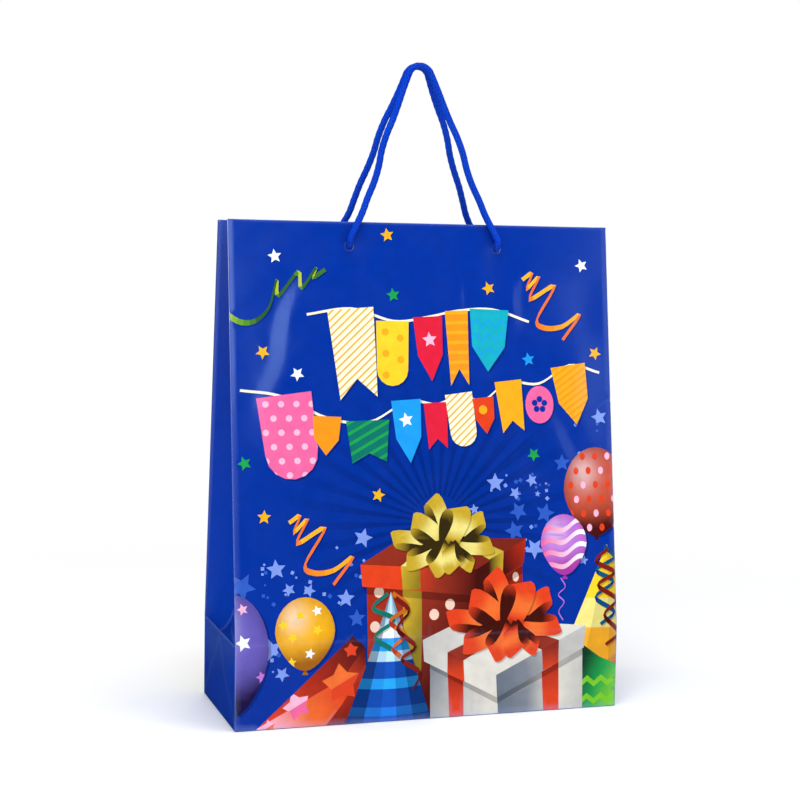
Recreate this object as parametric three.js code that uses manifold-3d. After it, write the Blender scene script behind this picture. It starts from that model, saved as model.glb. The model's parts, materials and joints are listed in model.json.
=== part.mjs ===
// A paper gift bag, 260 x 320 x 100 mm, with two cord handles.
// Millimetres, +Z up, origin at the middle of the base on the surface that the bag stands on.
// The printed front faces -Y. Below the score line the bag is a square box held open by its
// base board; above it the two walls lean together and the side gussets fold inward.

import * as THREE from 'three';
import { mergeVertices } from 'three/addons/utils/BufferGeometryUtils.js';
import Module from 'manifold-3d';

const wasm = await Module();
wasm.setup();

// Driving dimensions
const WIDTH = 260;
const DEPTH = 100;
const HEIGHT = 320;
const SCORE_HEIGHT = 54;
const MOUTH_DEPTH = 31;
const PAPER = 0.3;
const GAP = 0.3;
const HEM = 40;
const CARD_HEIGHT = 34;
const CARD_THICKNESS = 1.0;
const BOARD_THICKNESS = 1.5;
const HOLE_SPACING = 101;
const HOLE_DROP = 15.8;
const HOLE_DIAMETER = 5.6;
const CORD = 4.5;
const CORD_STANDOFF = 3.0;
const HANDLE_TOP = 422.8;
const HANDLE_TOP_RADIUS = 9;
const KNOT_RADIUS = 5.2;
const SEAM_LAP = 14;
const EDGE_CLEARANCE = 9;

// Worked out from them
const HALF_WIDTH = WIDTH / 2;
const HALF_DEPTH = DEPTH / 2;
const HALF_MOUTH = MOUTH_DEPTH / 2;
const RISE = HEIGHT - SCORE_HEIGHT;
const LEAN = Math.atan2(HALF_DEPTH - HALF_MOUTH, RISE);
const SLOPE_LENGTH = Math.hypot(HALF_DEPTH - HALF_MOUTH, RISE);
const HOLE_LEVEL = SLOPE_LENGTH - HOLE_DROP;
const CARD_INNER_FACE = PAPER + GAP + CARD_THICKNESS;
const HEM_INNER_FACE = CARD_INNER_FACE + GAP + PAPER;

const MATERIALS = {
  print: { color: 0x0337a0, roughness: 0.22 },
  lining: { color: 0xf1f1ee, roughness: 0.8 },
  card: { color: 0xb9b2a6, roughness: 0.9 },
  cord: { color: 0x0f43c4, roughness: 0.45 },
};

const bag = new THREE.Group();

function addMesh(parent, name, geometry, material) {
  const mesh = new THREE.Mesh(geometry, new THREE.MeshStandardMaterial(MATERIALS[material]));
  mesh.name = name;
  parent.add(mesh);
  return mesh;
}

// --- Solids -------------------------------------------------------------------------------

function toManifold(geometry) {
  const bare = geometry.index ? geometry.toNonIndexed() : geometry.clone();
  bare.deleteAttribute('normal');
  bare.deleteAttribute('uv');
  const merged = mergeVertices(bare, 1e-4);
  const vertProperties = new Float32Array(merged.attributes.position.array);
  const triVerts = new Uint32Array(merged.index.array);
  return new wasm.Manifold(new wasm.Mesh({ numProp: 3, vertProperties, triVerts }));
}

function toGeometry(manifold) {
  const mesh = manifold.getMesh();
  const geometry = new THREE.BufferGeometry();
  geometry.setAttribute('position', new THREE.BufferAttribute(mesh.vertProperties, 3));
  geometry.setIndex(new THREE.BufferAttribute(mesh.triVerts, 1));
  geometry.computeVertexNormals();
  return geometry;
}

// A box between two corners.
function slab(x0, x1, y0, y1, z0, z1) {
  const geometry = new THREE.BoxGeometry(x1 - x0, y1 - y0, z1 - z0);
  geometry.translate((x0 + x1) / 2, (y0 + y1) / 2, (z0 + z1) / 2);
  return geometry;
}

// A flat outline in the XY plane, given a thickness upward from z.
function plate(outline, z, thickness) {
  const shape = new THREE.Shape(outline.map(([x, y]) => new THREE.Vector2(x, y)));
  const geometry = new THREE.ExtrudeGeometry(shape, { depth: thickness, bevelEnabled: false });
  geometry.translate(0, 0, z);
  return geometry;
}

// A closed solid between two curved faces: outer(u, v) and inner(u, v), u and v from 0 to 1.
function curvedSheet(outer, inner, columns, rows) {
  const positions = [];
  for (const face of [outer, inner]) {
    for (let j = 0; j <= rows; j += 1) {
      for (let i = 0; i <= columns; i += 1) {
        positions.push(...face(i / columns, j / rows));
      }
    }
  }
  const faceSize = (columns + 1) * (rows + 1);
  const at = (side, i, j) => side * faceSize + j * (columns + 1) + i;
  const indices = [];
  const quad = (a, b, c, d) => indices.push(a, b, c, a, c, d);
  for (let j = 0; j < rows; j += 1) {
    for (let i = 0; i < columns; i += 1) {
      quad(at(0, i, j), at(0, i + 1, j), at(0, i + 1, j + 1), at(0, i, j + 1));
      quad(at(1, i, j), at(1, i, j + 1), at(1, i + 1, j + 1), at(1, i + 1, j));
    }
  }
  for (let i = 0; i < columns; i += 1) {
    quad(at(0, i, 0), at(1, i, 0), at(1, i + 1, 0), at(0, i + 1, 0));
    quad(at(0, i + 1, rows), at(1, i + 1, rows), at(1, i, rows), at(0, i, rows));
  }
  for (let j = 0; j < rows; j += 1) {
    quad(at(0, 0, j + 1), at(1, 0, j + 1), at(1, 0, j), at(0, 0, j));
    quad(at(0, columns, j), at(1, columns, j), at(1, columns, j + 1), at(0, columns, j + 1));
  }
  const geometry = new THREE.BufferGeometry();
  geometry.setAttribute('position', new THREE.Float32BufferAttribute(positions, 3));
  geometry.setIndex(indices);
  return turnedOutward(geometry);
}

// Flips every triangle if the faces point inward.
function turnedOutward(geometry) {
  const p = geometry.attributes.position;
  const index = geometry.index.array;
  const [a, b, c] = [new THREE.Vector3(), new THREE.Vector3(), new THREE.Vector3()];
  let volume = 0;
  for (let k = 0; k < index.length; k += 3) {
    a.fromBufferAttribute(p, index[k]);
    b.fromBufferAttribute(p, index[k + 1]);
    c.fromBufferAttribute(p, index[k + 2]);
    volume += a.dot(b.cross(c)) / 6;
  }
  if (volume < 0) {
    for (let k = 0; k < index.length; k += 3) {
      [index[k + 1], index[k + 2]] = [index[k + 2], index[k + 1]];
    }
  }
  geometry.computeVertexNormals();
  return geometry;
}

// --- The leaning walls --------------------------------------------------------------------
// A wall is built flat in its own frame: X across, Z up the slope from the score line, and Y
// inward from its printed face. The group then leans it; the back wall is turned half round.

function wallFrame(front) {
  const turned = new THREE.Group();
  turned.rotation.z = front ? 0 : Math.PI;
  const leaning = new THREE.Group();
  leaning.position.set(0, -HALF_DEPTH, SCORE_HEIGHT);
  leaning.rotation.x = -LEAN;
  turned.add(leaning);
  bag.add(turned);
  return leaning;
}

// The same slab with the two punched holes for the handle cord.
function punched(geometry) {
  let solid = toManifold(geometry);
  for (const side of [-1, 1]) {
    const drill = new THREE.CylinderGeometry(HOLE_DIAMETER / 2, HOLE_DIAMETER / 2, 12, 20);
    drill.translate(side * (HOLE_SPACING / 2), 0, HOLE_LEVEL);
    solid = solid.subtract(toManifold(drill));
  }
  return toGeometry(solid);
}

// The turn-in: a strip behind the card that is joined to the panel by the fold over its edge.
function hemGeometry() {
  const reach = HALF_WIDTH - EDGE_CLEARANCE;
  const y0 = CARD_INNER_FACE + GAP;
  const y1 = HEM_INNER_FACE;
  const top = SLOPE_LENGTH;
  const strip = slab(-reach, reach, y0, y1, top - HEM, top);
  const fold = slab(-reach, reach, PAPER + GAP, y1, top - PAPER, top);
  return punched(toGeometry(toManifold(strip).add(toManifold(fold))));
}

function cardGeometry() {
  const reach = HALF_WIDTH - EDGE_CLEARANCE;
  const top = SLOPE_LENGTH - PAPER - GAP;
  const card = slab(-reach, reach, PAPER + GAP, CARD_INNER_FACE, top - CARD_HEIGHT, top);
  return punched(card);
}

// A knot inside the wall, with the short length of cord that passes out through the hole and
// the cut tail that hangs below the knot.
function knotGeometry(side) {
  const x = side * (HOLE_SPACING / 2);
  const knotStart = HEM_INNER_FACE + GAP;
  const neckStart = -(CORD_STANDOFF - CORD / 2 - GAP);
  const neck = new THREE.CylinderGeometry(CORD / 2, CORD / 2, knotStart + 3 - neckStart, 12);
  neck.translate(x, (knotStart + 3 + neckStart) / 2, HOLE_LEVEL);
  const knot = new THREE.SphereGeometry(KNOT_RADIUS, 14, 10);
  knot.scale(1.05, 0.86, 1);
  knot.translate(x, knotStart + KNOT_RADIUS * 0.86, HOLE_LEVEL);
  const tail = new THREE.CylinderGeometry(CORD / 2, CORD / 2 + 0.2, 14, 10);
  tail.rotateX(Math.PI / 2);
  tail.translate(x + side * 1.5, knotStart + KNOT_RADIUS * 0.8, HOLE_LEVEL - 9);
  return toGeometry(toManifold(neck).add(toManifold(knot)).add(toManifold(tail)));
}

function buildWall(front) {
  const label = front ? 'front' : 'back';
  const wall = wallFrame(front);
  const panel = slab(-HALF_WIDTH, HALF_WIDTH, 0, PAPER, GAP / 2, SLOPE_LENGTH);
  addMesh(wall, `${label}_panel`, punched(panel), 'print');
  addMesh(wall, `${label}_top_hem`, hemGeometry(), 'print');
  addMesh(wall, `${label}_stiffener_card`, cardGeometry(), 'card');
  addMesh(wall, `${label}_knot_left`, knotGeometry(front ? -1 : 1), 'cord');
  addMesh(wall, `${label}_knot_right`, knotGeometry(front ? 1 : -1), 'cord');
  return wall;
}

// The glued lap of the sheet's two ends, inside the back wall beside its right-hand corner.
function buildSeamLap(backWall) {
  const x1 = -(HALF_WIDTH - EDGE_CLEARANCE);
  const top = SLOPE_LENGTH - HEM - GAP;
  const lap = slab(x1, x1 + SEAM_LAP, PAPER + GAP, 2 * PAPER + GAP, 2, top);
  addMesh(backWall, 'side_seam_lap', lap, 'lining');
}

// --- The side gussets ---------------------------------------------------------------------
// Each gusset is two halves. A half runs from the wall's corner to the centre fold, which goes
// inward as the walls come together, so that every level keeps its half width of paper.

function gussetPoint(side, half, across, up, depth) {
  const cornerY = HALF_DEPTH - (HALF_DEPTH - HALF_MOUTH) * up;
  const foldIn = Math.sqrt(HALF_DEPTH ** 2 - HALF_MOUTH ** 2) * Math.sqrt(up);
  const length = Math.hypot(cornerY, foldIn);
  const start = cornerY - PAPER - GAP - 0.05 - (PAPER * foldIn) / length;
  const x = HALF_WIDTH - foldIn * across - (cornerY / length) * depth;
  const y = start + (GAP / 2 - start) * across + (foldIn / length) * depth;
  const z = SCORE_HEIGHT + GAP / 2 + (RISE - GAP / 2) * up;
  return [side * x, half * y, z];
}

function gussetSheet(side, half, from, to, bottom, near, far) {
  const face = (depth) => (u, v) => (
    gussetPoint(side, half, from + (to - from) * u, bottom + (1 - bottom) * v ** 1.5, depth)
  );
  return curvedSheet(face(near), face(far), 4, bottom > 0 ? 4 : 20);
}

function buildGussets() {
  const hemBottom = 1 - HEM / RISE;
  for (const [sideName, side] of [['left', -1], ['right', 1]]) {
    for (const [halfName, half] of [['front', -1], ['back', 1]]) {
      const name = `${sideName}_gusset_${halfName}_half`;
      addMesh(bag, name, gussetSheet(side, half, 0, 1, 0, 0, PAPER), 'print');
      const near = PAPER + 2 * GAP;
      const hem = gussetSheet(side, half, 0.28, 0.96, hemBottom, near, near + PAPER);
      addMesh(bag, `${sideName}_gusset_${halfName}_hem`, hem, 'print');
    }
  }
}

// --- The square foot of the bag -----------------------------------------------------------

function buildFoot() {
  const bottom = PAPER + GAP;
  const top = SCORE_HEIGHT - GAP / 2;
  const x1 = HALF_WIDTH;
  const y1 = HALF_DEPTH;
  addMesh(bag, 'front_lower_wall', slab(-x1, x1, -y1, -y1 + PAPER, bottom, top), 'print');
  addMesh(bag, 'back_lower_wall', slab(-x1, x1, y1 - PAPER, y1, bottom, top), 'print');
  const inner = y1 - PAPER - GAP;
  addMesh(bag, 'left_lower_gusset', slab(-x1, -x1 + PAPER, -inner, inner, bottom, top), 'print');
  addMesh(bag, 'right_lower_gusset', slab(x1 - PAPER, x1, -inner, inner, bottom, top), 'print');
}

// The base is folded from the sheet's lower end: the two end tucks first, then the front flap,
// then the back flap, which covers the whole base and is the face that the bag stands on.
function buildBase() {
  const x1 = HALF_WIDTH - PAPER - GAP;
  const y1 = HALF_DEPTH - PAPER - GAP;
  const layer = PAPER + GAP;
  addMesh(bag, 'base_outer_flap', slab(-HALF_WIDTH, HALF_WIDTH, -HALF_DEPTH, HALF_DEPTH, 0, PAPER), 'print');
  const slant = y1 * 0.9;
  const flap = [[-x1, -y1], [x1, -y1], [x1 - slant, y1 * 0.35], [-x1 + slant, y1 * 0.35]];
  addMesh(bag, 'base_inner_flap', plate(flap, layer, PAPER), 'lining');
  for (const [name, side] of [['base_left_tuck', -1], ['base_right_tuck', 1]]) {
    const tip = side * (x1 - y1 * 0.8);
    const tuck = [[side * x1, -y1], [side * x1, y1], [tip, y1 * 0.2], [tip, -y1 * 0.2]];
    const outline = side > 0 ? tuck : tuck.reverse();
    addMesh(bag, name, plate(outline, 2 * layer, PAPER), 'lining');
  }
  const board = slab(-x1 + 1, x1 - 1, -y1 + 1, y1 - 1, 3 * layer, 3 * layer + BOARD_THICKNESS);
  addMesh(bag, 'base_board', board, 'card');
}

// --- The cord handles ---------------------------------------------------------------------
// Each handle is one cord: up from its left hole, round the top and down to its right hole.
// It is drawn in the leaning plane that holds both holes and its own top, just on its side of
// the middle, so that the two handles rest against each other at their tops.

function handleRoute(front) {
  const holeY = -(HALF_DEPTH - Math.sin(LEAN) * HOLE_LEVEL + Math.cos(LEAN) * CORD_STANDOFF);
  const holeZ = SCORE_HEIGHT + Math.cos(LEAN) * HOLE_LEVEL + Math.sin(LEAN) * CORD_STANDOFF;
  const topY = -(CORD / 2 + GAP);
  const rise = Math.hypot(topY - holeY, HANDLE_TOP - holeZ);
  const tilt = Math.atan2(topY - holeY, HANDLE_TOP - holeZ);
  const reach = HOLE_SPACING / 2;
  const r = HANDLE_TOP_RADIUS;
  const legAngle = legAngleFor(reach, rise, r);
  const flat = [];
  const legTop = [r * Math.cos(legAngle), rise - r + r * Math.sin(legAngle)];
  for (let k = 0; k <= 10; k += 1) {
    const t = k / 11;
    flat.push([-reach + (reach - legTop[0]) * t, legTop[1] * t]);
  }
  for (let k = 0; k <= 8; k += 1) {
    const a = Math.PI - legAngle - ((Math.PI - 2 * legAngle) * k) / 8;
    flat.push([r * Math.cos(a), rise - r + r * Math.sin(a)]);
  }
  const mirrored = flat.slice(0, 11).reverse();
  mirrored.forEach(([x, s]) => flat.push([-x, s]));
  const way = front ? 1 : -1;
  return flat.map(([x, s]) => new THREE.Vector3(
    x,
    way * (holeY + Math.sin(tilt) * s),
    holeZ + Math.cos(tilt) * s,
  ));
}

// The angle above the horizontal at which a straight leg from the hole leaves the top arc.
function legAngleFor(reach, rise, r) {
  const distance = Math.hypot(reach, rise - r);
  return Math.atan2(reach, rise - r) - Math.asin(r / distance);
}

function buildHandle(front) {
  const curve = new THREE.CatmullRomCurve3(handleRoute(front), false, 'centripetal');
  const section = new THREE.Shape();
  section.absarc(0, 0, CORD / 2, 0, Math.PI * 2, false);
  const geometry = new THREE.ExtrudeGeometry(section, {
    extrudePath: curve,
    steps: 40,
    curveSegments: 5,
  });
  const solid = toGeometry(toManifold(geometry));
  addMesh(bag, front ? 'front_handle_cord' : 'back_handle_cord', solid, 'cord');
}

// --- The bag ------------------------------------------------------------------------------

buildBase();
buildFoot();
buildWall(true);
buildSeamLap(buildWall(false));
buildGussets();
buildHandle(true);
buildHandle(false);

export default bag;
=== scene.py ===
"""A glossy printed paper gift bag with braided cord handles, built over its CAD frame."""

import json
import math

import bpy
import numpy as np
from mathutils import Matrix, Vector
from mathutils.geometry import delaunay_2d_cdt


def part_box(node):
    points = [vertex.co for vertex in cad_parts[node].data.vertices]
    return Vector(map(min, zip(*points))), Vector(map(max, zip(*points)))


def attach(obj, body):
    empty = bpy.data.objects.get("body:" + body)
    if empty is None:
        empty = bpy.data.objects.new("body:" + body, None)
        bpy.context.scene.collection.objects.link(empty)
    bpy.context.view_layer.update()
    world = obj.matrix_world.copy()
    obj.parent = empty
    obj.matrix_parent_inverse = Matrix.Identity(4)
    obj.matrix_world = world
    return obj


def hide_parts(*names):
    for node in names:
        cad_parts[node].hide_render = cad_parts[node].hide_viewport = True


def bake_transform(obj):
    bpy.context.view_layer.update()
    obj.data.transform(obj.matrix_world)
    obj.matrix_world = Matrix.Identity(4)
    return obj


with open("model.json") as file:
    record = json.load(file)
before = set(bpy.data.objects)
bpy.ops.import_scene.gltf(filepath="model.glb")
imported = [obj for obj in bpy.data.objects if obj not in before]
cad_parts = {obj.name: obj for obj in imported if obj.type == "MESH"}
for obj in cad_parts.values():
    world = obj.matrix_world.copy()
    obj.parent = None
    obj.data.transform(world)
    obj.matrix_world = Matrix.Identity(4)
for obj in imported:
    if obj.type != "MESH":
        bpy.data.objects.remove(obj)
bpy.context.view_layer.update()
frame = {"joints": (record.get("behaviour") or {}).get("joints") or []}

# --- Sizes, in millimetres, read from the frame ---

MM = 0.001
PAPER = 0.3


def box_mm(node):
    low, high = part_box(node)
    return np.array(low) / MM, np.array(high) / MM


PANEL_LOW, PANEL_HIGH = box_mm("front_panel")
HALF_WIDTH = PANEL_HIGH[0]
HALF_DEPTH = -PANEL_LOW[1]
HEIGHT = PANEL_HIGH[2]
SCORE = round(box_mm("front_lower_wall")[1][2])
HALF_MOUTH = PAPER - PANEL_HIGH[1]
LEAN = math.atan2(HALF_DEPTH - HALF_MOUTH, HEIGHT - SCORE)
SLOPE = math.hypot(HALF_DEPTH - HALF_MOUTH, HEIGHT - SCORE)
HEM_LOW, HEM_HIGH = box_mm("front_top_hem")
HEM = (HEM_HIGH[2] - HEM_LOW[2]) / math.cos(LEAN)
HEM_REACH = HEM_HIGH[0]
KNOT_LOW, KNOT_HIGH = box_mm("front_knot_right")
JOINTS = {joint["name"]: joint for joint in frame["joints"]}
SWING_LEVEL = JOINTS["front_handle_swing"]["pos_m"][2] / MM
# The cord's thickness.
CORD = 4.5
# The holes, x to each side and HOLE_LEVEL above the score.
HOLE_X = round((KNOT_LOW[0] + KNOT_HIGH[0]) / 2, 1)
HOLE_RADIUS = 2.8
# How far the cord stands off the printed wall where it leaves its hole.
STANDOFF = 3.0
HOLE_LEVEL = (SWING_LEVEL - SCORE - math.sin(LEAN) * STANDOFF) / math.cos(LEAN)
HANDLE_TOP = box_mm("front_handle_cord")[1][2] - CORD / 2
HANDLE_TOP_RADIUS = 8

# The sheet is measured along its own surface: x across, s up from the base, over the rim
# and down inside the mouth.
RIM_RADIUS = 1.1
RIM = SCORE + SLOPE - RIM_RADIUS
RIM_ARC = math.pi * RIM_RADIUS
TURN_IN = RIM + RIM_ARC
SHEET_TOP = TURN_IN + HEM - RIM_RADIUS
HOLE_S = SCORE + HOLE_LEVEL
# The length of the turn-in over which its corners are cut away.
MITRE = 5
# The paper's lower edge stands this far above the ground, on the folded base.
GROUND_GAP = 0.35
CORNER_RADIUS = 0.9
CORNER_ARC = CORNER_RADIUS * math.radians(75)


# --- Mesh helpers ---


def new_object(name, vertices, faces, materials, slots=None):
    """A smooth mesh object from vertices in millimetres."""
    mesh = bpy.data.meshes.new(name)
    mesh.from_pydata([tuple(v * MM for v in p) for p in vertices], [], [list(f) for f in faces])
    for material in materials:
        mesh.materials.append(material)
    if slots is not None:
        mesh.polygons.foreach_set("material_index", np.asarray(slots, dtype=np.int32))
    mesh.polygons.foreach_set("use_smooth", np.ones(len(mesh.polygons), dtype=bool))
    mesh.update()
    obj = bpy.data.objects.new(name, mesh)
    bpy.context.collection.objects.link(obj)
    return obj


def set_corner_ink(obj, colours):
    """Stores one linear colour for each face corner as the printed ink."""
    layer = obj.data.color_attributes.new("ink", "FLOAT_COLOR", "CORNER")
    rgba = np.ones((len(colours), 4))
    rgba[:, :3] = colours
    layer.data.foreach_set("color", rgba.ravel())


def set_wear_and_relief(obj, values):
    """Stores a value from 0 to 1 at each vertex: on a sheet how worn the film is, on a cord how
    high the plait stands, which the cord material turns into painted shade in the grooves.
    """
    layer = obj.data.attributes.new("wear", "FLOAT", "POINT")
    layer.data.foreach_set("value", np.asarray(values, dtype=np.float32))


def set_uv(obj, flat):
    """Stores each vertex's place on the flat sheet, in decimetres, as its UV."""
    layer = obj.data.uv_layers.new(name="sheet")
    corners = np.empty(len(obj.data.loops), dtype=np.int32)
    obj.data.loops.foreach_get("vertex_index", corners)
    layer.data.foreach_set("uv", (np.asarray(flat)[corners] / 100).ravel())


def smoothstep(low, high, value):
    t = np.clip((value - low) / (high - low), 0, 1)
    return t * t * (3 - 2 * t)


def grid_faces(columns, rows):
    faces = []
    for j in range(rows):
        for i in range(columns):
            a = j * (columns + 1) + i
            faces.append((a, a + 1, a + columns + 2, a + columns + 1))
    return faces


def boundary_edges(faces):
    """The edges that only one face has, in that face's direction."""
    seen = {}
    for face in faces:
        for a, b in zip(face, face[1:] + face[:1]):
            if (b, a) in seen:
                del seen[(b, a)]
            else:
                seen[(a, b)] = True
    return list(seen)


def closed_sheet(name, outer, normals, faces, flat, wear, ink=None, edge_slot=None):
    """A sheet of paper: its printed outer face, its white inner face and the rim between them.
    Each outer point has a normal, a place on the flat sheet and a wear. ink is a colour for
    each corner of the outer faces, plain blue if left out."""
    count = len(outer)
    inner = np.asarray(outer) - np.asarray(normals) * PAPER
    back = [tuple(i + count for i in reversed(face)) for face in faces]
    edges = boundary_edges(faces)
    rim = [(b, a, a + count, b + count) for a, b in edges]
    slots = [0] * len(faces) + [1] * len(back)
    slots += [edge_slot(a) if edge_slot else 0 for a, _ in edges]
    vertices = np.concatenate([outer, inner])
    obj = new_object(name, vertices, faces + back + rim, [PRINT, LINING], slots)
    corners = np.tile(INK["blue"], (len(obj.data.loops), 1))
    if ink is not None:
        corners[: len(ink)] = ink
    set_corner_ink(obj, corners)
    set_uv(obj, list(flat) * 2)
    set_wear_and_relief(obj, list(wear) * 2)
    return obj


def grid_sheet(name, us, vs, place, flat, wear):
    """A plain sheet over a grid. For each u, v, place gives the point of the outer face, flat
    its place on the flat sheet and wear how rubbed it is."""
    outer = np.array([[place(u, v) for u in us] for v in vs], dtype=float)
    normals = np.cross(np.gradient(outer, axis=1), np.gradient(outer, axis=0))
    normals /= np.linalg.norm(normals, axis=2, keepdims=True)
    faces = grid_faces(len(us) - 1, len(vs) - 1)
    spots = [(u, v) for v in vs for u in us]
    flats = [flat(u, v) for u, v in spots]
    wears = [wear(u, v) for u, v in spots]
    return closed_sheet(name, outer.reshape(-1, 3), normals.reshape(-1, 3), faces, flats, wears)


def bell(distance, width):
    """1 at no distance, falling off smoothly over the width."""
    return math.exp(-((distance / width) ** 2))


# --- Node material helpers ---


class Nodes:
    """A small builder for the node tree of a material or a world."""

    def __init__(self, owner):
        owner.use_nodes = True
        self.owner = owner
        self.tree = owner.node_tree

    def feed(self, socket, value):
        """Links a socket to another node's output, or sets it to a plain value."""
        if isinstance(value, bpy.types.NodeSocket):
            self.tree.links.new(value, socket)
        else:
            socket.default_value = value

    def add(self, kind, inputs=None, **settings):
        node = self.tree.nodes.new(kind)
        for key, value in settings.items():
            setattr(node, key, value)
        for key, value in (inputs or {}).items():
            self.feed(node.inputs[key], value)
        return node

    def shade(self, **inputs):
        """Sets or links the inputs of the material's own shader."""
        shader = self.tree.nodes["Principled BSDF"]
        for key, value in inputs.items():
            self.feed(shader.inputs[key.replace("_", " ")], value)
        return shader.outputs["BSDF"]

    def coords(self):
        return self.add("ShaderNodeTexCoord").outputs["Object"]

    def sheet_uv(self):
        return self.add("ShaderNodeUVMap", uv_map="sheet").outputs["UV"]

    # The wear attribute, which on the cords holds the plait's relief for their painted groove
    # shade.
    def wear(self):
        return self.add("ShaderNodeAttribute", attribute_name="wear").outputs["Fac"]

    def stretch(self, vector, scale):
        inputs = {"Vector": vector, "Scale": scale}
        return self.add("ShaderNodeMapping", inputs).outputs["Vector"]

    def noise(self, scale, detail, vector=None, roughness=0.5):
        source = self.coords() if vector is None else vector
        inputs = {"Vector": source, "Scale": scale, "Detail": detail, "Roughness": roughness}
        return self.add("ShaderNodeTexNoise", inputs).outputs["Fac"]

    def ramp(self, value, low, high):
        """Runs from the low to the high colour over the middle of a noise."""
        node = self.add("ShaderNodeValToRGB", {"Fac": value})
        for element, at, colour in zip(node.color_ramp.elements, (0.3, 0.7), (low, high)):
            element.position = at
            element.color = (*linear(colour), 1)
        return node.outputs["Color"]

    def map_range(self, value, low, high, to_low, to_high):
        inputs = {"Value": value, "From Min": low, "From Max": high}
        inputs.update({"To Min": to_low, "To Max": to_high})
        return self.add("ShaderNodeMapRange", inputs).outputs["Result"]

    def math(self, operation, a, b):
        return self.add("ShaderNodeMath", {0: a, 1: b}, operation=operation).outputs["Value"]

    def mix(self, factor, a, b, blend="MIX"):
        node = self.add("ShaderNodeMix", data_type="RGBA", blend_type=blend)
        for key, value in (("Factor", factor), ("A", a), ("B", b)):
            socket = next(s for s in node.inputs if s.name == key and s.enabled)
            self.feed(socket, (*linear(value), 1) if isinstance(value, str) else value)
        return next(s for s in node.outputs if s.enabled)

    def bump(self, height, strength, distance, normal=None):
        inputs = {"Height": height, "Strength": strength, "Distance": distance}
        if normal is not None:
            inputs["Normal"] = normal
        return self.add("ShaderNodeBump", inputs).outputs["Normal"]


def linear(hex_colour):
    """An sRGB hex colour as linear components."""
    parts = [int(hex_colour[i : i + 2], 16) / 255 for i in (0, 2, 4)]
    return np.array([c / 12.92 if c <= 0.04045 else ((c + 0.055) / 1.055) ** 2.4 for c in parts])


# --- Materials ---


def print_material():
    """Art paper printed in ink under a clear glossy film, rubbed pale along its creases."""
    nodes = Nodes(bpy.data.materials.new("printed_film"))
    uv = nodes.sheet_uv()
    ink = nodes.add("ShaderNodeVertexColor", layer_name="ink").outputs["Color"]
    mottle = nodes.map_range(nodes.noise(14, 4, uv), 0.3, 0.7, 0.93, 1.05)
    tone = nodes.add("ShaderNodeCombineColor", {0: mottle, 1: mottle, 2: mottle})
    inked = nodes.mix(1.0, ink, tone.outputs["Color"], "MULTIPLY")
    flakes = nodes.map_range(nodes.noise(160, 5, uv, 0.7), 0.35, 0.75, 0.1, 1.0)
    rubbed = nodes.math("MULTIPLY", nodes.wear(), flakes)
    colour = nodes.mix(rubbed, inked, "9fb4e6")
    smears = nodes.map_range(nodes.noise(5, 3, uv), 0.3, 0.7, 0.13, 0.21)
    roughness = nodes.math("ADD", smears, nodes.math("MULTIPLY", rubbed, 0.3))
    fibre = nodes.bump(nodes.noise(95, 6, uv, 0.62), 0.012, 0.0003)
    normal = nodes.bump(nodes.noise(26, 3, uv), 0.016, 0.001, fibre)
    nodes.shade(Base_Color=colour, Roughness=roughness, Normal=normal, IOR=1.49)
    nodes.shade(Coat_Weight=0.25, Coat_Roughness=0.08)
    return nodes.owner


def lining_material():
    """The uncoated white back of the paper, with fibre and faint grey mottle."""
    nodes = Nodes(bpy.data.materials.new("uncoated_white_paper"))
    fleck = nodes.noise(900, 6, roughness=0.7)
    cloud = nodes.noise(45, 4)
    base = nodes.ramp(cloud, "e6e6e1", "f6f6f3")
    colour = nodes.mix(nodes.map_range(fleck, 0.32, 0.4, 0.12, 0.0), base, "b9b6ad")
    roughness = nodes.map_range(cloud, 0.3, 0.7, 0.72, 0.86)
    normal = nodes.bump(fleck, 0.18, 0.0003)
    nodes.shade(Base_Color=colour, Roughness=roughness, Normal=normal, IOR=1.45)
    return nodes.owner


def board_material():
    """Recycled grey board, with long pressed fibres and darker flecks."""
    nodes = Nodes(bpy.data.materials.new("grey_board"))
    fibre = nodes.noise(5, 6, nodes.stretch(nodes.coords(), (60, 220, 220)), 0.65)
    fleck = nodes.noise(700, 3)
    base = nodes.ramp(fibre, "a39c90", "c6c0b4")
    colour = nodes.mix(nodes.map_range(fleck, 0.3, 0.37, 0.5, 0.0), base, "6f6a62")
    roughness = nodes.map_range(fibre, 0.3, 0.7, 0.8, 0.94)
    normal = nodes.bump(fibre, 0.25, 0.0003)
    nodes.shade(Base_Color=colour, Roughness=roughness, Normal=normal)
    return nodes.owner


def cord_material():
    """Shiny blue polypropylene yarn. Its plait is real geometry; the nodes add the filaments and
    paint shade into the plait's grooves.
    """
    nodes = Nodes(bpy.data.materials.new("braided_cord"))
    uv = nodes.sheet_uv()
    lit = nodes.ramp(nodes.noise(3, 3, uv), "0433ae", "0842c4")
    # On a cord the wear attribute holds how high the plait stands: its low places get painted
    # shade, a dark blue in the grooves.
    painted_groove_shade = nodes.map_range(nodes.wear(), 0.0, 0.8, 0.6, 0.0)
    colour = nodes.mix(painted_groove_shade, lit, "021062")
    filament = nodes.noise(40, 3, nodes.stretch(uv, (60, 9, 9)))
    roughness = nodes.map_range(filament, 0.3, 0.7, 0.3, 0.48)
    normal = nodes.bump(filament, 0.25, 0.0001)
    nodes.shade(Base_Color=colour, Roughness=roughness, Normal=normal)
    nodes.shade(Specular_IOR_Level=0.35, Specular_Tint=(0.25, 0.5, 1, 1))
    return nodes.owner


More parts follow.
